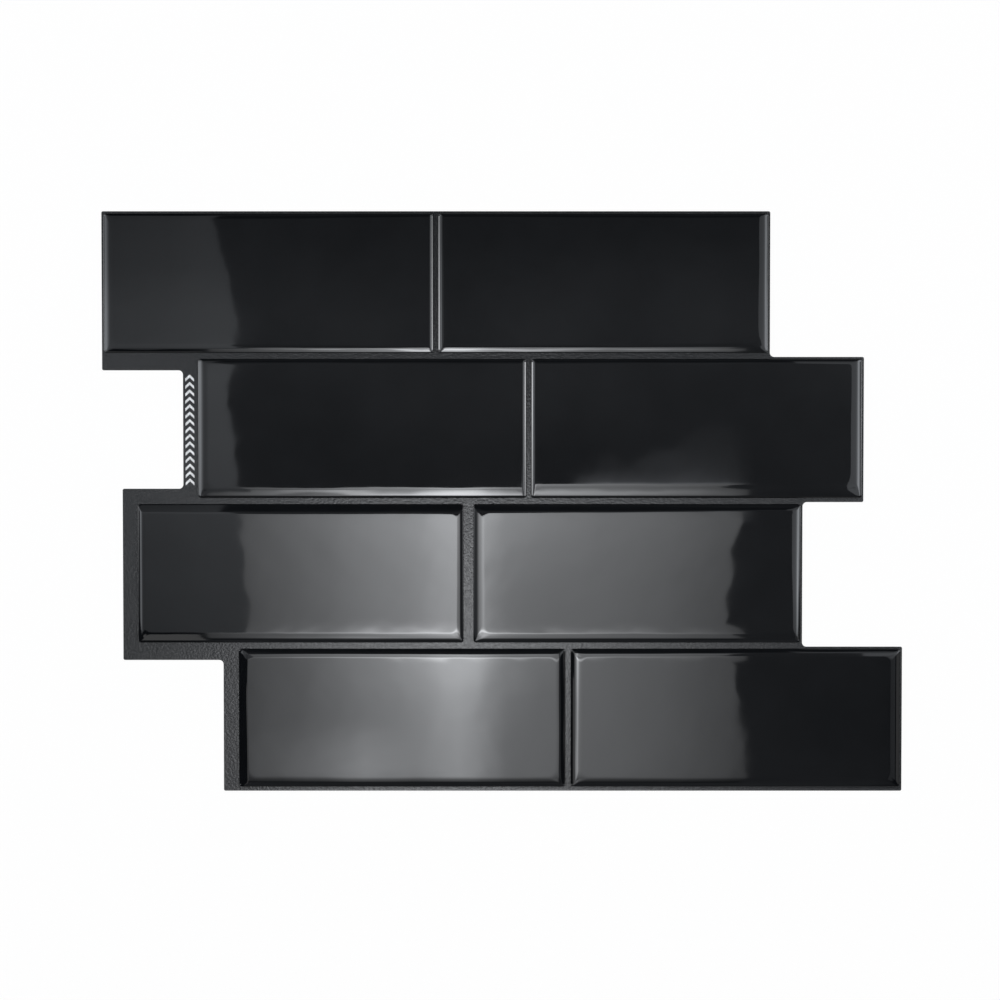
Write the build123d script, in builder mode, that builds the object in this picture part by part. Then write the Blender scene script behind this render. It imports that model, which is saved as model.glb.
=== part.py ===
from build123d import *
import os
from math import cos, radians, sin, tan

# Peel and stick backsplash tile: four staggered rows of two glossy gel tiles, cast on one
# stepped carrier film that has overlap laps on its left side, with a release liner on its back.
# Millimetres. The origin is the centre of the liner's underside, +X runs along the rows,
# +Y goes up the wall and +Z points out of the tiles' faces.

# The grid of rows, from the top row down: each row's left end, from the left end of the sheet
ROW_START = (0.0, 34.5, 12.2, 49.0)
ROW_LENGTH = 244.6
ROW_PITCH = 53.2

# The joint between the two tiles of each row, and how far it lies right of the row's middle
JOINT_WIDTH = (1.6, 1.6, 3.6, 1.9)
JOINT_SHIFT = (-0.1, -0.5, -0.3, -0.5)

# Bare film round the two tiles of a row
TOP_TRIM = 0.7
BOTTOM_TRIM = 1.5
SIDE_TRIM = 0.7

# The laps that go under the tiles of the next sheet, and the corners of the die-cut outline
LAP_WIDTH = 4.9
INNER_CORNER = 1.6
OUTER_CORNER = 0.6

# The flat layers
LINER_THICKNESS = 0.15
FILM_THICKNESS = 0.4

# The edge of a gel tile, from its foot inwards: a steep wall, a tight shoulder arc, a wider arc
# that bends over and a shallow one that eases into the flat face
GEL_HEIGHT = 1.0
FOOT_CORNER = 1.0
WALL_SLOPE = 72.0
SHOULDER_RADIUS = 0.55
SHOULDER_END_SLOPE = 11.0
BEND_RADIUS = 10.5
BEND_END_SLOPE = 2.5
EASE_RADIUS = 37.0

# What follows from these
ROW_COUNT = len(ROW_START)
SHEET_LENGTH = max(ROW_START) + ROW_LENGTH
SHEET_HEIGHT = ROW_COUNT * ROW_PITCH
TILE_HEIGHT = ROW_PITCH - TOP_TRIM - BOTTOM_TRIM
FILM_TOP = LINER_THICKNESS + FILM_THICKNESS


def row_top(row):
    return SHEET_HEIGHT / 2 - row * ROW_PITCH


def row_left(row):
    return ROW_START[row] - SHEET_LENGTH / 2


def row_right(row):
    return row_left(row) + ROW_LENGTH


def film_left(row):
    # the top row has no lap at its end
    return row_left(row) if row == 0 else row_left(row) - LAP_WIDTH


def outline_step(jutting, other, y):
    # where the outline steps from the row that juts out to the other one
    return [((jutting, y), OUTER_CORNER), ((other, y), INNER_CORNER)]


def sheet_outline():
    """The stepped outline that the film and the liner are cut to together."""
    last = ROW_COUNT - 1
    corners = [((film_left(0), row_top(0)), OUTER_CORNER)]
    # down the left side, where a lap also lies along the open long edge of the row that juts out
    for row in range(last):
        upper, lower = film_left(row), film_left(row + 1)
        if upper < lower:
            corners += outline_step(upper, lower, row_top(row + 1) - LAP_WIDTH)
        else:
            corners += reversed(outline_step(lower, upper, row_top(row + 1) + LAP_WIDTH))
    corners.append(((film_left(last), row_top(ROW_COUNT)), OUTER_CORNER))
    # up the right side, which has no laps
    corners.append(((row_right(last), row_top(ROW_COUNT)), OUTER_CORNER))
    for row in range(last, 0, -1):
        upper, lower = row_right(row - 1), row_right(row)
        if upper < lower:
            corners += outline_step(lower, upper, row_top(row))
        else:
            corners += reversed(outline_step(upper, lower, row_top(row)))
    corners.append(((row_right(0), row_top(0)), OUTER_CORNER))

    with BuildSketch() as outline:
        with BuildLine():
            FilletPolyline(
                *[point for point, _ in corners],
                radius=[radius for _, radius in corners],
                close=True,
            )
        make_face()
    return outline.sketch


# The arcs of a tile's edge, each with its radius and the slope it ends at
EDGE_ARCS = (
    (SHOULDER_RADIUS, SHOULDER_END_SLOPE),
    (BEND_RADIUS, BEND_END_SLOPE),
    (EASE_RADIUS, 0.0),
)


def edge_stops():
    """Where the wall and the arcs end, from the foot at 0, 0. The wall makes up the height."""
    slope = radians(WALL_SLOPE)
    steps = []
    for radius, end_slope in EDGE_ARCS:
        end = radians(end_slope)
        steps.append(radius * Vector(sin(slope) - sin(end), cos(end) - cos(slope)))
        slope = end
    wall_rise = GEL_HEIGHT - sum(step.Y for step in steps)
    stops = [Vector(wall_rise / tan(radians(WALL_SLOPE)), wall_rise)]
    for step in steps:
        stops.append(stops[-1] + step)
    return stops


def tile_section(width):
    """The section of a tile that is this wide at its foot."""
    foot = Vector(-width / 2, 0)
    stops = [foot + stop for stop in edge_stops()]
    with BuildSketch() as section:
        with BuildLine():
            Polyline((0, 0), foot, stops[0])
            for (radius, _), start, end in zip(EDGE_ARCS, stops, stops[1:]):
                RadiusArc(start, end, radius)
            Line(stops[-1], (0, GEL_HEIGHT))
            mirror(about=Plane.YZ)
        make_face()
    return section.sketch


def corner_waste(width):
    """What the corner of a foot loses, where the sketch's upright axis is that of its rounding."""
    with BuildSketch() as waste:
        with Locations((-FOOT_CORNER, GEL_HEIGHT)):
            Rectangle(2 * FOOT_CORNER, 2 * GEL_HEIGHT)
        with Locations((width / 2 - FOOT_CORNER, 0)):
            add(tile_section(width), mode=Mode.SUBTRACT)
    return waste.sketch


def gel_tile(left, right, top):
    """One cast tile: the edge section runs along all four sides and meets in mitred corners,
    which are rounded near the foot."""
    length = right - left
    seat = Vector((left + right) / 2, top - TILE_HEIGHT / 2, FILM_TOP)
    with BuildPart() as tile:
        with BuildSketch(Plane(seat, x_dir=(1, 0, 0), z_dir=(0, -1, 0))):
            add(tile_section(length))
        extrude(amount=TILE_HEIGHT / 2, both=True)
        with BuildSketch(Plane(seat, x_dir=(0, 1, 0), z_dir=(1, 0, 0))):
            add(tile_section(TILE_HEIGHT))
        extrude(amount=length / 2, both=True, mode=Mode.INTERSECT)
        for side_x in (-1, 1):
            for side_y in (-1, 1):
                centre = seat + Vector(
                    side_x * (length / 2 - FOOT_CORNER), side_y * (TILE_HEIGHT / 2 - FOOT_CORNER)
                )
                with BuildSketch(Plane(centre, x_dir=(-side_x, 0, 0), z_dir=(0, side_x, 0))):
                    add(corner_waste(length))
                revolve(
                    axis=Axis(centre, (0, 0, side_x * side_y)),
                    revolution_arc=90,
                    mode=Mode.SUBTRACT,
                )
    return tile.part


os.makedirs("parts", exist_ok=True)

# The release liner, peeled off before the sheet is pressed on the wall
with BuildPart() as release_liner:
    with BuildSketch(Plane.XY):
        add(sheet_outline())
    extrude(amount=LINER_THICKNESS)
release_liner.part.label = "release_liner"
export_step(release_liner.part, "parts/release_liner.step")

# The carrier film, which joins the tiles and shows between them as the grout lines
with BuildPart() as carrier_sheet:
    with BuildSketch(Plane.XY.offset(LINER_THICKNESS)):
        add(sheet_outline())
    extrude(amount=FILM_THICKNESS)
carrier_sheet.part.label = "carrier_sheet"
export_step(carrier_sheet.part, "parts/carrier_sheet.step")

# The gel tiles, two to a row
for row in range(ROW_COUNT):
    tile_top = row_top(row) - TOP_TRIM
    row_middle = (row_left(row) + row_right(row)) / 2
    joint_left = row_middle + JOINT_SHIFT[row] - JOINT_WIDTH[row] / 2
    joint_right = joint_left + JOINT_WIDTH[row]
    spans = {
        "left": (row_left(row) + SIDE_TRIM, joint_left),
        "right": (joint_right, row_right(row) - SIDE_TRIM),
    }
    for side, (left, right) in spans.items():
        tile = gel_tile(left, right, tile_top)
        tile.label = f"gel_tile_{row + 1}_{side}"
        export_step(tile, f"parts/{tile.label}.step")
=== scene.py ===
import math
import random

import bpy
import numpy as np
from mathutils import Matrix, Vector

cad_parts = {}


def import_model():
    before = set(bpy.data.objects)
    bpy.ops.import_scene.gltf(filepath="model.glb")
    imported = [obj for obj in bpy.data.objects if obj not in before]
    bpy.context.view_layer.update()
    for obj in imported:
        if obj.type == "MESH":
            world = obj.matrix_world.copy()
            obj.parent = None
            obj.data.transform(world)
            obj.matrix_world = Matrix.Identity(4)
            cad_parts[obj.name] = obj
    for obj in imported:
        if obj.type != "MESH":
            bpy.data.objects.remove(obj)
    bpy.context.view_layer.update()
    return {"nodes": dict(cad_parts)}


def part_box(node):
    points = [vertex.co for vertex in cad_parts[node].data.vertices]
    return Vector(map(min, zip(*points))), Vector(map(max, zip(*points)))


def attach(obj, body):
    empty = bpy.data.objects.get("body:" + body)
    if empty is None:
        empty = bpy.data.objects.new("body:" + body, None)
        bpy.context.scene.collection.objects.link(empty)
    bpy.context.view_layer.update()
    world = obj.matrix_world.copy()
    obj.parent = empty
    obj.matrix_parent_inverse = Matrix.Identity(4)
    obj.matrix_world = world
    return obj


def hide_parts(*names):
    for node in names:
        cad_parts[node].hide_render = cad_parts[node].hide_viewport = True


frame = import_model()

# The finish of a black peel and stick backsplash sheet that lies on its back: eight glossy gel
# tiles with softly wavy faces on a satin film. Metres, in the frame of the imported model.
MM = 0.001

# The photographer's camera, almost straight above the sheet and leaning a little from its top
CAMERA_DISTANCE = 1.0
CAMERA_LEAN = math.radians(2.06)
FRAME_WIDTH = 0.3672
AIM = Vector((-1.03 * MM, 0.74 * MM, 0.0))
SENSOR_WIDTH = 36.0

# The section of a gel tile's edge: the slope of its wall in degrees, then arcs that go inwards,
# each with its radius in millimetres and the slope that it ends at. Every section rises to the
# same height, because its wall takes what the arcs leave.
EDGE_SECTIONS = {
    "eased": (72, ((0.55, 11), (10.5, 2.5), (37.0, 0))),
    "crisp": (80, ((0.2, 11), (10.5, 2.5), (37.0, 0))),
    "outer": (84, ((0.15, 12), (13.5, 2.2), (37.0, 0))),
    "bevelled": (80, ((0.2, 6.0), (138.0, 5.5), (3.0, 2.5), (37.0, 0))),
    "lipped": (80, ((0.2, 6.5), (185.0, 6.1), (3.0, 2.5), (37.0, 0))),
    "shelved": (80, ((0.88, 3.12), (500.0, 2.86), (9.0, 0.3), (190.0, 0))),
    "broad": (80, ((0.88, 3.15), (400.0, 2.72), (30.0, 0.3), (190.0, 0))),
    "kerbed": (80, ((0.8, 11), (10.5, 2.5), (37.0, 0))),
    "deep": (76, ((0.25, 11), (54.0, 9), (1.5, 2.5), (34.0, 0))),
    "rolled": (76, ((0.75, 38), (1.65, 20), (4.0, 11), (4.6, 6), (3.8, 1.5), (23.0, 0))),
    "banked": (76, ((0.25, 11), (32.0, 6), (4.2, 0.5), (46.0, 0))),
    "stepped": (76, ((0.25, 11), (42.0, 9), (1.5, 2.5), (34.0, 0))),
}
# The edges that differ from a plain crisp one: the section, how wide it is at the edge's left or
# lower end and at its other end, and how late along the edge that changes
EDGES = {
    "gel_tile_1_left": {
        "left": ("outer", 1.05, 1.0), "right": ("rolled", 0.8, 0.7),
        "bottom": ("lipped", 0.93, 1.0, 0.5), "top": ("crisp", 0.95, 0.4),
    },
    "gel_tile_1_right": {
        "left": ("rolled", 1.15, 1.0), "bottom": ("lipped", 1.07, 1.07), "top": ("crisp", 0.4, 0.5),
        "right": ("outer", 1.1, 1.0),
    },
    "gel_tile_2_left": {
        "bottom": ("shelved", 1.0, 1.04), "right": ("rolled", 0.8, 0.8), "left": ("outer", 1.0, 1.0),
        "top": ("crisp", 0.6, 0.6),
    },
    "gel_tile_2_right": {
        "bottom": ("broad", 1.0, 1.0), "left": ("rolled", 0.85, 0.85), "top": ("crisp", 0.6, 0.5),
        "right": ("outer", 1.1, 1.0),
    },
    "gel_tile_3_left": {
        "top": ("banked", 0.95, 1.0), "right": ("bevelled", 0.8, 0.8), "left": ("outer", 0.75, 0.7),
        "bottom": ("crisp", 1.15, 1.05),
    },
    "gel_tile_3_right": {
        "top": ("banked", 0.9, 0.7), "left": ("crisp", 1.2, 1.2), "right": ("outer", 0.8, 1.15),
        "bottom": ("crisp", 1.1, 1.0),
    },
    "gel_tile_4_left": {
        "left": ("banked", 0.95, 0.92), "right": ("deep", 1.0, 1.0), "top": ("stepped", 1.0, 1.0),
        "bottom": ("crisp", 1.15, 1.15),
    },
    "gel_tile_4_right": {
        "top": ("stepped", 0.9, 0.8), "left": ("kerbed", 1.1, 1.15), "bottom": ("crisp", 1.15, 1.0),
    },
}
# Swells of a tile's cast face: their place from the tile's lower left corner, their radius and
# their height, in millimetres
SWELLS = {
    "gel_tile_1_left": ((59.0, 17.0, 9.0, 0.045),),
}
# The corner of a tile's foot, and how far the mitre between two edges is softened: not below the
# start, fully above the other depth
FOOT_CORNER = 1.0 * MM
CREASE_BLEND = 3.2 * MM
BLEND_START = 0.5 * MM
BLEND_FULL = 3.0 * MM

# Mesh lines: closer together towards the foot over the edges, even over the face between
EDGE_BAND = 6.0 * MM
EDGE_LINES = 30
LINE_CROWDING = 1.6
FACE_STEP = 1.4 * MM
SECTION_STEPS = 40


def tile_nodes():
    return sorted(name for name in frame["nodes"] if name.startswith("gel_tile_"))


def section_curve(section, height):
    """Distances from the foot and heights along an edge's section, from foot to face."""
    wall_slope, arcs = EDGE_SECTIONS[section]
    start = math.radians(wall_slope)
    distances, heights = [0.0], [0.0]
    for radius, end_slope in arcs:
        end = math.radians(end_slope)
        x, z = distances[-1], heights[-1]
        for step in range(1, SECTION_STEPS + 1):
            slope = start + (end - start) * step / SECTION_STEPS
            distances.append(x + radius * MM * (math.sin(start) - math.sin(slope)))
            heights.append(z + radius * MM * (math.cos(slope) - math.cos(start)))
        start = end
    wall_rise = height - heights[-1]
    wall_width = wall_rise / math.tan(math.radians(wall_slope))
    return (
        np.array([0.0] + [wall_width + distance for distance in distances]),
        np.array([0.0] + [wall_rise + rise for rise in heights]),
    )


def stations(length):
    """Places of the mesh lines across a tile."""
    edge = EDGE_BAND * (np.arange(EDGE_LINES + 1) / EDGE_LINES) ** LINE_CROWDING
    count = max(2, round((length - 2 * EDGE_BAND) / FACE_STEP))
    middle = np.linspace(EDGE_BAND, length - EDGE_BAND, count + 1)[1:-1]
    return np.concatenate([edge, middle, (length - edge)[::-1]])


class Waves:
    """A smooth random surface: a sum of cosines, each given a wavelength and a steepness."""

    def __init__(self, seed, bands):
        draw = random.Random(seed)
        self.parts = []
        for longest, shortest, steepness, count in bands:
            for _ in range(count):
                wavelength = draw.uniform(shortest, longest)
                heading = draw.uniform(0.0, 2 * math.pi)
                number = 2 * math.pi / wavelength
                self.parts.append((
                    number * math.cos(heading),
                    number * math.sin(heading),
                    draw.uniform(0.0, 2 * math.pi),
                    steepness * math.sqrt(2.0 / count) / number,
                ))

    def height(self, x, y):
        total = np.zeros_like(x)
        for kx, ky, phase, size in self.parts:
            total += size * np.cos(kx * x + ky * y + phase)
        return total


# How uneven the cast faces are: longest and shortest wavelength, steepness and number of waves
FACE_WAVES = (
    (90 * MM, 40 * MM, 0.0006, 5),
    (26 * MM, 10 * MM, 0.0007, 14),
    (8 * MM, 3.5 * MM, 0.0005, 18),
)
# How the width of an edge varies along it
REACH_WAVES = ((60 * MM, 20 * MM, 0.004, 8),)
FIRST_SEED = 11
REACH_SEED_STEP = 500
PLAIN_EDGE = ("crisp", 1.1, 1.1)


class Edge:
    """One side of a tile. It turns a distance from the side's foot into the distance at which
    the plain eased section is as high."""

    def __init__(self, node, side, height):
        section, self.start_reach, self.end_reach, *late = EDGES.get(node, {}).get(side, PLAIN_EDGE)
        self.lateness = late[0] if late else 1
        self.distances, self.heights = section_curve(section, height)
        self.plain_distances, self.plain_heights = section_curve("eased", height)

    def plain_distance(self, distance, along, unevenness):
        change = (self.end_reach - self.start_reach) * along**self.lateness
        reach = self.start_reach + change + unevenness
        foot = self.distances[1]
        own = np.where(distance > foot, foot + (distance - foot) / reach, distance)
        level = np.interp(own, self.distances, self.heights)
        plain = np.interp(level, self.plain_heights, self.plain_distances)
        return plain + np.maximum(own - self.distances[-1], 0.0)


def swells(node, u, v):
    """The listed swells of a tile's face, at places measured from its lower left corner."""
    total = np.zeros_like(u)
    for centre_u, centre_v, radius, rise in SWELLS.get(node, ()):
        far = ((u - centre_u * MM) ** 2 + (v - centre_v * MM) ** 2) / (radius * MM) ** 2
        total += rise * MM * np.exp(-far / 2)
    return total


def gel_tile(node, seed, material):
    low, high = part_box(node)
    size_x, size_y, height = high - low
    xs, ys = stations(size_x), stations(size_y)
    grid_x, grid_y = np.meshgrid(xs, ys, indexing="ij")
    on_left, on_bottom = grid_x < size_x / 2, grid_y < size_y / 2
    in_x = np.minimum(grid_x, size_x - grid_x)
    in_y = np.minimum(grid_y, size_y - grid_y)

    # the foot's corners are round: the square lines there are bent into arcs
    depth = np.minimum(in_x, in_y)
    corner = (in_x < FOOT_CORNER) & (in_y < FOOT_CORNER)
    along_arc = (np.maximum(in_x, in_y) - depth) / np.maximum(FOOT_CORNER - depth, 1e-9)
    along_arc = np.clip(along_arc, 0, 1)
    turn = math.pi / 4 * (1 - along_arc)
    near = FOOT_CORNER - (FOOT_CORNER - depth) * np.cos(turn)
    far = FOOT_CORNER - (FOOT_CORNER - depth) * np.sin(turn)
    x_is_near = in_x <= in_y
    bent_x = np.where(corner, np.where(x_is_near, near, far), in_x)
    bent_y = np.where(corner, np.where(x_is_near, far, near), in_y)
    u = np.where(on_left, bent_x, size_x - bent_x)
    v = np.where(on_bottom, bent_y, size_y - bent_y)
    x, y = u + low.x, v + low.y

    # how far each place is from its nearest edges, on the scale of the plain section
    uneven = Waves(seed + REACH_SEED_STEP, REACH_WAVES).height(x, y) / MM
    edges = {side: Edge(node, side, height) for side in ("left", "right", "bottom", "top")}

    def from_x(distance):
        return np.where(
            on_left,
            edges["left"].plain_distance(distance, v / size_y, uneven),
            edges["right"].plain_distance(distance, v / size_y, uneven),
        )

    def from_y(distance):
        return np.where(
            on_bottom,
            edges["bottom"].plain_distance(distance, u / size_x, uneven),
            edges["top"].plain_distance(distance, u / size_x, uneven),
        )

    straight = np.minimum(from_x(in_x), from_y(in_y))
    at_x_end = np.minimum(from_x(depth), from_y(np.full_like(depth, FOOT_CORNER)))
    at_y_end = np.minimum(from_y(depth), from_x(np.full_like(depth, FOOT_CORNER)))
    towards_y = 0.5 + np.where(x_is_near, -0.5, 0.5) * along_arc
    rounded = at_x_end + (at_y_end - at_x_end) * towards_y
    # the mitre between two edges is softened, more so further from the foot
    blend = CREASE_BLEND * np.clip((depth - BLEND_START) / (BLEND_FULL - BLEND_START), 0.0, 1.0)
    gap = np.abs(from_x(bent_x) - from_y(bent_y))
    overlap = np.clip(1 - gap / np.maximum(blend, 1e-9), 0, 1)
    distance = np.where(corner, rounded, straight) - np.where(blend > 1e-6, overlap**2 * blend / 4, 0)

    z = np.interp(distance, edges["left"].plain_distances, edges["left"].plain_heights)
    face = Waves(seed, FACE_WAVES).height(x, y) + swells(node, u, v)
    z = z + (face - face.max()) * (z / height) ** 2 + low.z

    rows, columns = x.shape
    index = np.arange(rows * columns).reshape(rows, columns)
    quads = np.stack(
        [index[:-1, :-1], index[1:, :-1], index[1:, 1:], index[:-1, 1:]], axis=-1
    ).reshape(-1, 4)
    rim = np.concatenate([index[:, 0], index[-1, 1:], index[-2::-1, -1], index[0, -2:0:-1]])
    vertices = np.stack([x, y, z], axis=-1).reshape(-1, 3)
    mesh = bpy.data.meshes.new(node + "_gel")
    mesh.from_pydata(vertices.tolist(), [], quads.tolist() + [rim[::-1].tolist()])
    mesh.polygons.foreach_set("use_smooth", [True] * len(quads) + [False])
    foot = set(rim.tolist())
    for edge in mesh.edges:
        if edge.vertices[0] in foot and edge.vertices[1] in foot:
            edge.use_edge_sharp = True
    mesh.update()
    tile = bpy.data.objects.new(node + "_gel", mesh)
    bpy.context.scene.collection.objects.link(tile)
    mesh.materials.append(material)
    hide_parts(node)
    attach(tile, "root")
    return tile


# The part of a noise texture's range that is used, and the gloss that all surfaces share
NOISE_LOW = 0.3
NOISE_HIGH = 0.7
IOR = 1.5


def new_material(name):
    material = bpy.data.materials.new(name)
    material.use_nodes = True
    nodes = material.node_tree.nodes
    return material, nodes, material.node_tree.links, nodes["Principled BSDF"]


def noise_texture(nodes, links, scale, detail=2.0, roughness=0.5):
    place = nodes.new("ShaderNodeTexCoord")
    texture = nodes.new("ShaderNodeTexNoise")
    texture.inputs["Scale"].default_value = scale
    texture.inputs["Detail"].default_value = detail
    texture.inputs["Roughness"].default_value = roughness
    links.new(place.outputs["Object"], texture.inputs["Vector"])
    return texture


def ramp(nodes, links, source, stops):
    colours = nodes.new("ShaderNodeValToRGB")
    elements = colours.color_ramp.elements
    while len(elements) < len(stops):
        elements.new(0.5)
    for element, (position, colour) in zip(elements, stops):
        element.position = position
        element.color = (*colour, 1.0)
    links.new(source, colours.inputs["Fac"])
    return colours.outputs["Color"]


def mottled(nodes, links, texture, dark, pale, shader):
    """Gives a shader a colour that wanders between two."""
    colour = ramp(nodes, links, texture.outputs["Fac"], ((NOISE_LOW, dark), (NOISE_HIGH, pale)))
    links.new(colour, shader.inputs["Base Color"])


def spread(nodes, links, texture, limits, socket):
    """Feeds a texture's value to a socket, brought to a range."""
    span = nodes.new("ShaderNodeMapRange")
    span.inputs["From Min"].default_value = NOISE_LOW
    span.inputs["From Max"].default_value = NOISE_HIGH
    span.inputs["To Min"].default_value = limits[0]
    span.inputs["To Max"].default_value = limits[1]
    links.new(texture.outputs["Fac"], span.inputs["Value"])
    links.new(span.outputs["Result"], socket)


def relief(nodes, links, source, distance, shader):
    bump = nodes.new("ShaderNodeBump")
    bump.inputs["Strength"].default_value = 1.0
    bump.inputs["Distance"].default_value = distance
    links.new(source, bump.inputs["Height"])
    links.new(bump.outputs["Normal"], shader.inputs["Normal"])


GEL_COLOURS = ((0.0022, 0.0026, 0.0032), (0.0030, 0.0034, 0.0042))
GEL_ROUGHNESS = (0.024, 0.032)


def gel_material():
    """Black cast gel, glossy, with a faint mottle in its colour and its gloss."""
    material, nodes, links, shader = new_material("black_gel")
    mottle = noise_texture(nodes, links, 90.0, 4.0)
    mottled(nodes, links, mottle, *GEL_COLOURS, shader)
    spread(nodes, links, mottle, GEL_ROUGHNESS, shader.inputs["Roughness"])
    shader.inputs["IOR"].default_value = IOR
    return material


FILM_COLOURS = ((0.0106, 0.0112, 0.0123), (0.0132, 0.0138, 0.0149))
FILM_ROUGHNESS = (0.15, 0.23)
# The depth of the film's embossed grain, and how its lower trim turns up
FILM_GRAIN = 0.045 * MM
CURL_START = 0.8 * MM
CURL_RISE = 0.035 * MM


def film_height(nodes, links, grain):
    """The film's relief: its grain, and its lower trim, which turns up a little."""
    place = nodes.new("ShaderNodeTexCoord")
    split = nodes.new("ShaderNodeSeparateXYZ")
    links.new(place.outputs["Object"], split.inputs["Vector"])
    lower_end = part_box("carrier_sheet")[0].y
    curl = nodes.new("ShaderNodeMapRange")
    curl.inputs["From Min"].default_value = lower_end + CURL_START
    curl.inputs["From Max"].default_value = lower_end
    curl.inputs["To Max"].default_value = CURL_RISE
    links.new(split.outputs["Y"], curl.inputs["Value"])
    height = nodes.new("ShaderNodeMath")
    height.operation = "MULTIPLY_ADD"
    height.inputs[1].default_value = FILM_GRAIN
    links.new(grain, height.inputs[0])
    links.new(curl.outputs["Result"], height.inputs[2])
    return height.outputs["Value"]


def film_material():
    """Satin black film with a fine embossed grain."""
    material, nodes, links, shader = new_material("carrier_film")
    mottled(nodes, links, noise_texture(nodes, links, 60.0, 5.0), *FILM_COLOURS, shader)
    grain = noise_texture(nodes, links, 1300.0, 1.0, 0.5)
    spread(nodes, links, grain, FILM_ROUGHNESS, shader.inputs["Roughness"])
    relief(nodes, links, film_height(nodes, links, grain.outputs["Fac"]), 1.0, shader)
    shader.inputs["IOR"].default_value = IOR
    return material


LINER_COLOURS = ((0.74, 0.73, 0.69), (0.82, 0.81, 0.78))
LINER_ROUGHNESS = 0.55
LINER_FIBRE = 0.004 * MM


def liner_material():
    """Off-white coated release paper with a faint fibre mottle."""
    material, nodes, links, shader = new_material("liner_paper")
    fibre = noise_texture(nodes, links, 700.0, 6.0, 0.65)
    mottled(nodes, links, fibre, *LINER_COLOURS, shader)
    shader.inputs["Roughness"].default_value = LINER_ROUGHNESS
    relief(nodes, links, fibre.outputs["Fac"], LINER_FIBRE, shader)
    return material


INK_COLOURS = ((0.35, (0.62, 0.62, 0.62)), (0.65, (0.82, 0.82, 0.82)))
INK_ROUGHNESS = 0.6


def print_material():
    """White ink, a little uneven."""
    material, nodes, links, shader = new_material("white_ink")
    colour = ramp(nodes, links, noise_texture(nodes, links, 1500.0).outputs["Fac"], INK_COLOURS)
    links.new(colour, shader.inputs["Base Color"])
    shader.inputs["Roughness"].default_value = INK_ROUGHNESS
    return material


# The printed marks on the second row's lap: a column of chevrons in the middle of the strip
MARK_COUNT = 15
MARK_STRIP = 40.8 * MM
MARK_WIDTH = 3.2 * MM
MARK_STROKE = 1.1 * MM
MARK_REACH = 1.5 * MM
MARK_THICKNESS = 0.02 * MM
LAP_WIDTH = 4.9 * MM
SIDE_TRIM = 0.7 * MM


def overlap_marks(material):
    """Thin prisms of ink on the film, left open below."""
    film_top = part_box("carrier_sheet")[1].z
    low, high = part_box("gel_tile_2_left")
    middle = Vector((low.x - SIDE_TRIM - LAP_WIDTH / 2, (low.y + high.y) / 2))
    vertices, faces = [], []
    pitch = MARK_STRIP / MARK_COUNT
    for number in range(MARK_COUNT):
        y = middle.y + (number - (MARK_COUNT - 1) / 2) * pitch
        tip, arms = y + MARK_REACH / 2, y - MARK_REACH / 2
        flat = [
            (middle.x - MARK_WIDTH / 2, arms), (middle.x, tip), (middle.x + MARK_WIDTH / 2, arms),
            (middle.x + MARK_WIDTH / 2, arms - MARK_STROKE), (middle.x, tip - MARK_STROKE),
            (middle.x - MARK_WIDTH / 2, arms - MARK_STROKE),
        ]
        first = len(vertices)
        count = len(flat)
        for z in (film_top, film_top + MARK_THICKNESS):
            vertices += [(px, py, z) for px, py in flat]
        top = [first + count + i for i in range(count)]
        faces += [[top[0], top[5], top[4], top[1]], [top[1], top[4], top[3], top[2]]]
        for i in range(count):
            j = (i + 1) % count
            faces.append([first + j, first + i, top[i], top[j]])
    mesh = bpy.data.meshes.new("overlap_marks")
    mesh.from_pydata(vertices, [], faces)
    mesh.update()
    marks = bpy.data.objects.new("overlap_marks", mesh)
    bpy.context.scene.collection.objects.link(marks)
    mesh.materials.append(material)
    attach(marks, "root")
    return marks


# Studio. The sheet lies in a dark tent with its lights as panels: what the level faces mirror
# is on one plane above it, and two side panels light the steep edges and the table.
PANEL_HEIGHT = 1.2
TENT_HALF = 1.2
CEILING_HEIGHT = 1.25
LAYER_GAP = 0.01

# The lights are a little cool, and the dim ones are cooler
LIGHT_TINT = (0.975, 0.996, 1.028)
CARD_TINT = (0.95, 0.995, 1.055)
SHADE_TINT = (0.95, 0.99, 1.06)
X_AXIS = (1.0, 0.0, 0.0)
Y_AXIS = (0.0, 1.0, 0.0)


def slanted(nodes, links, vector, shift=None):
    """A coordinate of the studio along a vector, shifted by a socket's value."""
    place = nodes.new("ShaderNodeNewGeometry")
    dot = nodes.new("ShaderNodeVectorMath")
    dot.operation = "DOT_PRODUCT"
    dot.inputs[1].default_value = vector
    links.new(place.outputs["Position"], dot.inputs[0])
    if shift is None:
        return dot.outputs["Value"]
    total = nodes.new("ShaderNodeMath")
    total.operation = "ADD"
    links.new(dot.outputs["Value"], total.inputs[0])
    links.new(shift, total.inputs[1])
    return total.outputs["Value"]


def profile(nodes, links, vector, stops, tint=(1.0, 1.0, 1.0), shift=None):
    """Brightness along a vector of the studio, from stops of a place and a level, as a share of
    the highest level. Returns the socket and that level."""
    low, high = stops[0][0], stops[-1][0]
    span = nodes.new("ShaderNodeMapRange")
    span.inputs["From Min"].default_value = low
    span.inputs["From Max"].default_value = high
    links.new(slanted(nodes, links, vector, shift), span.inputs["Value"])
    peak = max(level for _, level in stops)
    shares = [
        ((at - low) / (high - low), tuple(level / peak * part for part in tint))
        for at, level in stops
    ]
    return ramp(nodes, links, span.outputs["Result"], shares), peak


def mixed(nodes, links, how, first, second):
    mix = nodes.new("ShaderNodeMix")
    mix.data_type = "RGBA"
    mix.blend_type = how
    mix.inputs["Factor"].default_value = 1.0
    links.new(first, mix.inputs["A"])
    links.new(second, mix.inputs["B"])
    return mix.outputs["Result"]


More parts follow.
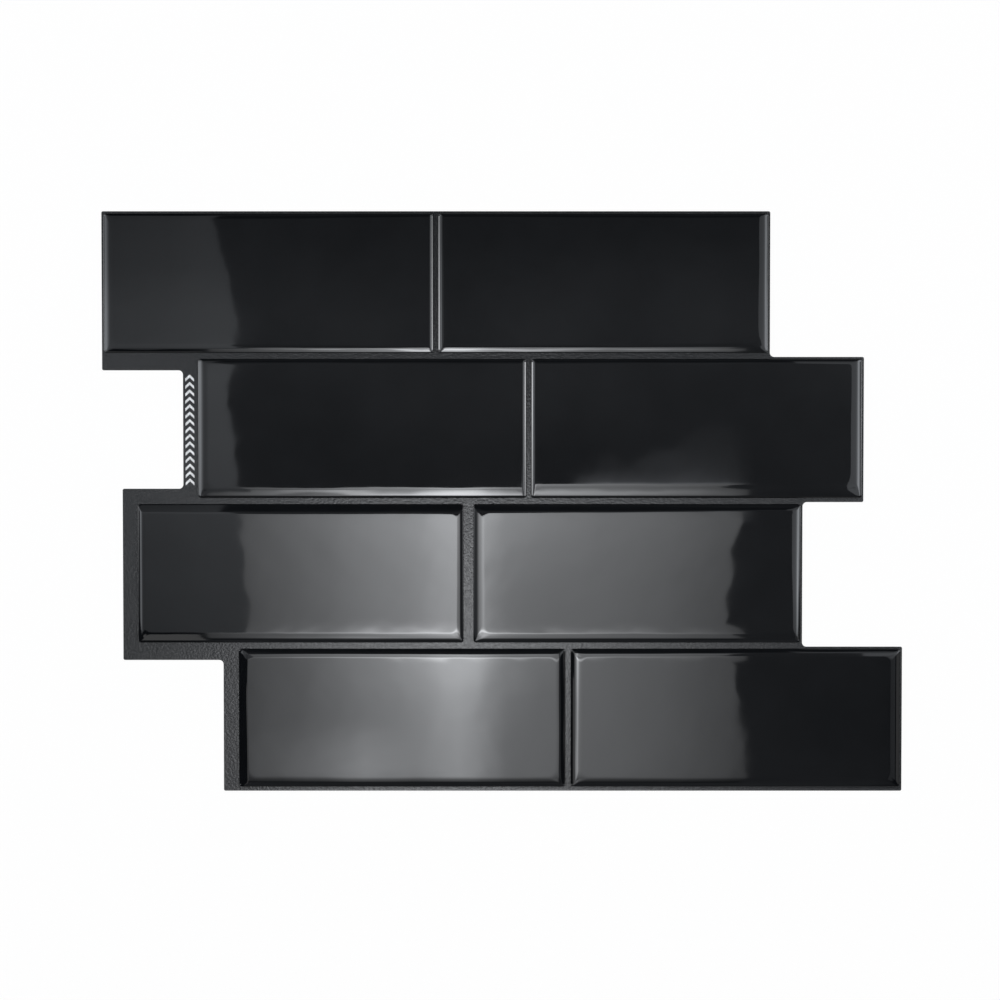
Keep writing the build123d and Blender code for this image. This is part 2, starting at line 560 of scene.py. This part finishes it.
def emission_material(name, strength=1.0):
    material = bpy.data.materials.new(name)
    material.use_nodes = True
    nodes = material.node_tree.nodes
    nodes.clear()
    emission = nodes.new("ShaderNodeEmission")
    emission.inputs["Strength"].default_value = strength
    output = nodes.new("ShaderNodeOutputMaterial")
    material.node_tree.links.new(emission.outputs["Emission"], output.inputs["Surface"])
    return material, nodes, material.node_tree.links, emission


def card(name, corners, material):
    """A flat piece of the studio that the camera doesn't see but the gloss does."""
    mesh = bpy.data.meshes.new(name)
    mesh.from_pydata(corners, [], [tuple(range(len(corners)))])
    mesh.materials.append(material)
    piece = bpy.data.objects.new(name, mesh)
    bpy.context.scene.collection.objects.link(piece)
    piece.visible_camera = False
    return piece


def overhead(name, outline, height, material):
    card(name, [(x, y, height) for x, y in reversed(outline)], material)


def rectangle(low, high):
    return [(low[0], low[1]), (high[0], low[1]), (high[0], high[1]), (low[0], high[1])]


def light(nodes, links, emission, terms, tint, masks=()):
    """Sets an emission to a sum of terms, each a product of profiles along given vectors and, if
    there is one, of a mask."""
    total, highest = None, 0.0
    levels = []
    for number, term in enumerate(terms):
        socket, level = None, 1.0
        for vector, stops in term:
            part, peak = profile(nodes, links, vector, stops, (1.0, 1.0, 1.0) if socket else tint)
            socket = mixed(nodes, links, "MULTIPLY", socket, part) if socket else part
            level *= peak
        if number < len(masks) and masks[number]:
            socket = mixed(nodes, links, "MULTIPLY", socket, masks[number])
        levels.append((socket, level))
        highest = max(highest, level)
    for socket, level in levels:
        scale = nodes.new("ShaderNodeVectorMath")
        scale.operation = "SCALE"
        scale.inputs["Scale"].default_value = level / highest
        links.new(socket, scale.inputs[0])
        share = scale.outputs["Vector"]
        total = mixed(nodes, links, "ADD", total, share) if total else share
    links.new(total, emission.inputs["Color"])
    emission.inputs["Strength"].default_value = highest


def lit_panel(name, outline, height, terms, tint):
    material, nodes, links, emission = emission_material(name)
    light(nodes, links, emission, terms, tint)
    overhead(name, outline, height, material)


# The softbox over the two lower rows. Its terms are its lamp's core, the sweep to the right at
# its top, the fold that runs across it between the rows, what spills below that and a lower glow.
SOFTBOX_OUTLINE = (
    (-0.24, -0.42), (0.199, -0.42), (0.200, -0.258), (0.197, -0.248), (0.195, -0.240),
    (0.196, -0.228), (0.194, -0.216), (0.196, -0.209), (0.194, -0.202), (0.190, -0.195),
    (0.189, -0.186), (0.191, -0.177), (0.188, -0.173), (0.200, -0.169), (0.200, -0.150),
    (0.182, -0.143), (0.184, -0.135), (0.183, -0.127), (0.180, -0.122), (0.181, -0.118),
    (0.184, -0.112), (0.186, -0.102), (0.185, -0.093), (0.185, -0.080), (0.187, -0.075),
    (0.189, -0.066), (0.193, -0.058), (0.196, -0.0427), (-0.24, -0.0427),
)
CORE_ACROSS = (
    (-0.24, 0.9), (-0.205, 1.55), (-0.188, 1.95), (-0.163, 2.45), (-0.137, 3.2), (-0.111, 4.1),
    (-0.085, 4.8), (-0.062, 5.9), (-0.047, 7.3), (-0.034, 7.9), (-0.02, 6.9), (-0.008, 5.1),
    (0.003, 3.9), (0.013, 3.65), (0.04, 3.3), (0.08, 3.0), (0.104, 2.7), (0.13, 2.35),
    (0.156, 1.9), (0.17, 1.7), (0.188, 1.45), (0.20, 1.0),
)
CORE_DOWN = (
    (-0.42, 0.0), (-0.38, 0.07), (-0.32, 0.27), (-0.29, 0.55), (-0.262, 0.80), (-0.244, 0.83),
    (-0.203, 0.86), (-0.143, 0.90), (-0.106, 1.0), (-0.082, 1.09), (-0.058, 1.22),
    (-0.051, 1.15), (-0.043, 0.7),
)
SWEEP_ACROSS = ((-0.03, 0.0), (-0.012, 1.4), (0.0, 1.5), (0.026, 0.9), (0.052, 0.5), (0.08, 0.0))
SWEEP_DOWN = ((-0.125, 0.0), (-0.10, 0.2), (-0.082, 0.45), (-0.058, 0.9), (-0.043, 1.0))
FOLD_ACROSS = (
    (-0.24, 0.2), (-0.195, 1.0), (-0.163, 3.2), (-0.122, 5.0), (-0.082, 7.6), (-0.05, 9.8),
    (-0.03, 9.8), (-0.008, 8.0), (0.015, 5.6), (0.08, 3.1), (0.10, 2.6), (0.146, 1.4),
    (0.176, 0.7), (0.197, 0.0),
)
FOLD_DOWN = (
    (-0.169, 0.0), (-0.165, 0.7), (-0.161, 1.0), (-0.156, 1.0), (-0.152, 0.5), (-0.147, 0.1),
    (-0.142, 0.0),
)
SPILL_ACROSS = (
    (-0.16, 0.0), (-0.111, 0.9), (-0.085, 1.6), (-0.06, 2.6), (-0.047, 3.3), (-0.02, 3.6),
    (-0.008, 2.8), (0.005, 1.5), (0.03, 0.5), (0.07, 0.2), (0.10, 0.0),
)
SPILL_DOWN = (
    (-0.24, 0.0), (-0.2235, 0.12), (-0.203, 0.32), (-0.187, 0.7), (-0.173, 0.85), (-0.165, 0.85),
    (-0.155, 0.0),
)
GLOW_ACROSS = (
    (-0.21, 0.0), (-0.19, 0.35), (-0.163, 0.6), (-0.137, 1.1), (-0.111, 2.0), (-0.09, 1.2),
    (-0.07, 0.4), (-0.045, 0.0),
)
GLOW_DOWN = ((-0.42, 0.0), (-0.30, 0.6), (-0.26, 1.0), (-0.244, 0.75), (-0.225, 0.15), (-0.215, 0.0))


def softbox():
    lit_panel("softbox", SOFTBOX_OUTLINE, PANEL_HEIGHT, (
        ((X_AXIS, CORE_ACROSS), (Y_AXIS, CORE_DOWN)),
        ((X_AXIS, SWEEP_ACROSS), (Y_AXIS, SWEEP_DOWN)),
        ((X_AXIS, FOLD_ACROSS), (Y_AXIS, FOLD_DOWN)),
        ((X_AXIS, SPILL_ACROSS), (Y_AXIS, SPILL_DOWN)),
        ((X_AXIS, GLOW_ACROSS), (Y_AXIS, GLOW_DOWN)),
    ), LIGHT_TINT)


# The cards beside the softbox, lit from the side so that they brighten outwards
LEFT_CARD_OUTLINE = (
    (-0.90, -0.155), (-0.204, -0.155), (-0.204, -0.130), (-0.207, -0.106), (-0.209, -0.058),
    (-0.2135, -0.034), (-0.2125, 0.007), (-0.2185, 0.035), (-0.2195, 0.05), (-0.2155, 0.07),
    (-0.2175, 0.09), (-0.222, 0.12), (-0.226, 0.15), (-0.230, 0.19), (-0.230, 0.46), (-0.90, 0.46),
)
LEFT_CARD_ACROSS = (
    (-0.90, 1.2), (-0.80, 1.6), (-0.71, 4.6), (-0.615, 3.5), (-0.53, 1.95), (-0.466, 1.15),
    (-0.41, 0.8), (-0.318, 0.69), (-0.27, 0.79), (-0.243, 0.90), (-0.20, 0.98),
)
LEFT_CARD_DOWN = (
    (-0.155, 0.6), (-0.143, 0.63), (-0.106, 0.72), (-0.082, 0.75), (-0.058, 0.83), (-0.026, 1.0),
    (0.003, 1.1), (0.03, 1.12), (0.059, 1.22), (0.09, 1.02), (0.112, 0.98), (0.144, 0.74),
    (0.177, 0.63), (0.30, 0.55), (0.46, 0.5),
)
RIGHT_CARD_OUTLINE = (
    (0.328, -0.30), (0.44, -0.30), (0.44, -0.165), (0.80, -0.155), (0.80, 0.33), (0.237, 0.33),
    (0.237, 0.10), (0.29, 0.07), (0.29, -0.155), (0.328, -0.165),
)
RIGHT_CARD_ACROSS = (
    (0.237, 0.95), (0.40, 1.2), (0.46, 1.4), (0.53, 3.0), (0.58, 5.3), (0.62, 5.0), (0.68, 2.4),
    (0.76, 0.6), (0.80, 0.3),
)
RIGHT_CARD_DOWN = (
    (-0.30, 0.3), (-0.165, 0.32), (-0.15, 0.9), (-0.12, 1.25), (-0.05, 1.1), (0.12, 1.0),
    (0.20, 0.8), (0.33, 0.5),
)
# Two plain cards below them: their names, levels and opposite corners
LOWER_CARDS = (
    ("lower_left_card", 1.05, (-0.34, -0.46), (-0.245, -0.19)),
    ("lower_right_card", 0.6, (0.51, -0.30), (0.80, -0.16)),
)


def cards():
    lit_panel("left_card", LEFT_CARD_OUTLINE, PANEL_HEIGHT - LAYER_GAP, (
        ((X_AXIS, LEFT_CARD_ACROSS), (Y_AXIS, LEFT_CARD_DOWN)),
    ), CARD_TINT)
    lit_panel("right_card", RIGHT_CARD_OUTLINE, PANEL_HEIGHT - LAYER_GAP, (
        ((X_AXIS, RIGHT_CARD_ACROSS), (Y_AXIS, RIGHT_CARD_DOWN)),
    ), CARD_TINT)
    for name, level, low, high in LOWER_CARDS:
        plain = emission_material(name, level)[0]
        overhead(name, rectangle(low, high), PANEL_HEIGHT - LAYER_GAP, plain)


# The tent's dim ceiling, level by level from its near end to its far end
CEILING_DOWN = (
    (-1.2, 0.25), (-0.45, 0.28), (-0.33, 0.25), (-0.26, 0.24), (-0.17, 0.23), (-0.15, 0.29),
    (-0.06, 0.29), (-0.04, 0.25), (0.0, 0.29), (0.03, 0.35), (0.06, 0.39), (0.10, 0.41),
    (0.13, 0.34), (0.165, 0.25), (0.21, 0.19), (0.26, 0.07), (0.42, 0.07), (0.50, 0.15), (1.2, 0.12),
)
CEILING_ACROSS = ((-1.2, 0.12), (-0.27, 0.12), (-0.235, 0.9), (0.31, 0.9), (0.37, 0.12), (1.2, 0.12))
CEILING_MOTTLE = ((0.32, (0.72, 0.72, 0.72)), (0.68, (1.0, 1.0, 1.0)))
CEILING_MOTTLE_SCALE = 11.0
# What spills on it past the softbox's top right corner, with a torn looking slanted edge
STRAY_AXIS = (1.0, -3.3, 0.0)
STRAY_EDGE = ((0.105, 0.0), (0.125, 0.15), (0.150, 0.85), (0.175, 1.0), (0.30, 1.0))
STRAY_DOWN = (
    (-0.062, 0.0), (-0.052, 2.6), (-0.044, 2.6), (-0.038, 1.8), (-0.032, 1.1), (-0.027, 0.75),
    (-0.015, 0.36), (0.003, 0.18), (0.018, 0.10), (0.035, 0.0),
)
STRAY_ACROSS = ((0.055, 0.0), (0.07, 1.0), (0.174, 1.0), (0.188, 0.8), (0.197, 0.3), (0.21, 0.0))
STRAY_TEAR = 0.10
STRAY_TEAR_SCALE = 38.0


def torn_edge(nodes, links):
    tear = nodes.new("ShaderNodeMath")
    tear.operation = "MULTIPLY_ADD"
    tear.inputs[1].default_value = STRAY_TEAR
    tear.inputs[2].default_value = -STRAY_TEAR / 2
    links.new(noise_texture(nodes, links, STRAY_TEAR_SCALE, 5.0).outputs["Fac"], tear.inputs[0])
    return profile(nodes, links, STRAY_AXIS, STRAY_EDGE, shift=tear.outputs["Value"])[0]


def ceiling():
    material, nodes, links, emission = emission_material("ceiling")
    terms = (
        ((Y_AXIS, CEILING_DOWN), (X_AXIS, CEILING_ACROSS)),
        ((Y_AXIS, STRAY_DOWN), (X_AXIS, STRAY_ACROSS)),
    )
    light(nodes, links, emission, terms, SHADE_TINT, (None, torn_edge(nodes, links)))
    even = emission.inputs["Color"].links[0].from_socket
    mottle = noise_texture(nodes, links, CEILING_MOTTLE_SCALE, 4.0)
    cloud = ramp(nodes, links, mottle.outputs["Fac"], CEILING_MOTTLE)
    links.new(mixed(nodes, links, "MULTIPLY", even, cloud), emission.inputs["Color"])
    half = (TENT_HALF, TENT_HALF)
    overhead("ceiling", rectangle((-TENT_HALF, -TENT_HALF), half), CEILING_HEIGHT, material)


# The tent's walls: dark in front and behind, and with a side light above a dark foot along the
# two sides
FRONT_WALL_LEVEL = 0.22
BACK_WALL_LEVEL = 0.02
SIDE_FOOT_LEVEL = 0.05
SIDE_LIGHT_BOTTOM = 0.33
SIDE_LIGHT_ALONG = (
    (-1.2, 0.02), (-0.16, 0.03), (-0.11, 1.8), (-0.04, 9.0), (0.03, 15.0), (0.12, 12.0),
    (0.20, 6.0), (0.30, 3.0), (1.2, 2.6),
)


def wall(name, start, end, bottom, top, material):
    card(name, [(*start, bottom), (*end, bottom), (*end, top), (*start, top)], material)


def walls():
    half = TENT_HALF
    for name, y, level in (
        ("front_wall", -half, FRONT_WALL_LEVEL), ("back_wall", half, BACK_WALL_LEVEL),
    ):
        plain = emission_material(name, level)[0]
        wall(name, (-half, y), (half, y), 0.0, CEILING_HEIGHT, plain)
    for name, x in (("left", -half), ("right", half)):
        foot = emission_material(name + "_wall", SIDE_FOOT_LEVEL)[0]
        wall(name + "_wall", (x, -half), (x, half), 0.0, SIDE_LIGHT_BOTTOM, foot)
        material, nodes, links, emission = emission_material(name + "_light")
        light(nodes, links, emission, (((Y_AXIS, SIDE_LIGHT_ALONG),),), LIGHT_TINT)
        wall(name + "_light", (x, -half), (x, half), SIDE_LIGHT_BOTTOM, CEILING_HEIGHT, material)


def world():
    sky = bpy.data.worlds.new("studio")
    bpy.context.scene.world = sky
    sky.use_nodes = True
    background = sky.node_tree.nodes["Background"]
    background.inputs["Color"].default_value = (1.0, 1.0, 1.0, 1.0)
    background.inputs["Strength"].default_value = 1.0


# The table: its own colour, and how much of what the camera sees of it is plain white
FLOOR_SIZE = 6.0
FLOOR_COLOUR = 0.9
FLOOR_WHITE_SHARE = 0.96


def floor():
    """A white table that keeps some of its light and shadow."""
    material = bpy.data.materials.new("floor")
    material.use_nodes = True
    nodes, links = material.node_tree.nodes, material.node_tree.links
    nodes.clear()
    matt = nodes.new("ShaderNodeBsdfDiffuse")
    matt.inputs["Color"].default_value = (FLOOR_COLOUR, FLOOR_COLOUR, FLOOR_COLOUR, 1.0)
    white = nodes.new("ShaderNodeEmission")
    white.inputs["Strength"].default_value = 1.0
    path = nodes.new("ShaderNodeLightPath")
    seen = path.outputs["Is Camera Ray"]
    for kind in ("Is Glossy Ray", "Is Transmission Ray"):
        either = nodes.new("ShaderNodeMath")
        either.operation = "MAXIMUM"
        links.new(seen, either.inputs[0])
        links.new(path.outputs[kind], either.inputs[1])
        seen = either.outputs["Value"]
    share = nodes.new("ShaderNodeMath")
    share.operation = "MULTIPLY"
    share.inputs[1].default_value = FLOOR_WHITE_SHARE
    links.new(seen, share.inputs[0])
    mix = nodes.new("ShaderNodeMixShader")
    links.new(share.outputs["Value"], mix.inputs["Fac"])
    links.new(matt.outputs["BSDF"], mix.inputs[1])
    links.new(white.outputs["Emission"], mix.inputs[2])
    output = nodes.new("ShaderNodeOutputMaterial")
    links.new(mix.outputs["Shader"], output.inputs["Surface"])
    half = FLOOR_SIZE / 2
    mesh = bpy.data.meshes.new("floor")
    mesh.from_pydata(
        [(-half, -half, 0), (half, -half, 0), (half, half, 0), (-half, half, 0)], [], [(0, 1, 2, 3)]
    )
    mesh.materials.append(material)
    table = bpy.data.objects.new("floor", mesh)
    bpy.context.scene.collection.objects.link(table)


def camera():
    data = bpy.data.cameras.new("camera")
    data.sensor_width = SENSOR_WIDTH
    data.lens = SENSOR_WIDTH * CAMERA_DISTANCE / FRAME_WIDTH
    eye = bpy.data.objects.new("camera", data)
    bpy.context.scene.collection.objects.link(eye)
    back = Vector((0.0, math.sin(CAMERA_LEAN), math.cos(CAMERA_LEAN)))
    eye.location = AIM + back * CAMERA_DISTANCE
    eye.rotation_euler = (-CAMERA_LEAN, 0.0, 0.0)
    bpy.context.scene.camera = eye


def studio():
    bpy.context.scene.view_settings.view_transform = "Standard"
    camera()
    world()
    floor()
    walls()
    ceiling()
    softbox()
    cards()


def dress(node, material):
    slots = frame["nodes"][node].data.materials
    slots.clear()
    slots.append(material)


def main():
    studio()
    gel = gel_material()
    for number, node in enumerate(tile_nodes()):
        gel_tile(node, FIRST_SEED + number, gel)
    dress("carrier_sheet", film_material())
    dress("release_liner", liner_material())
    overlap_marks(print_material())


main()
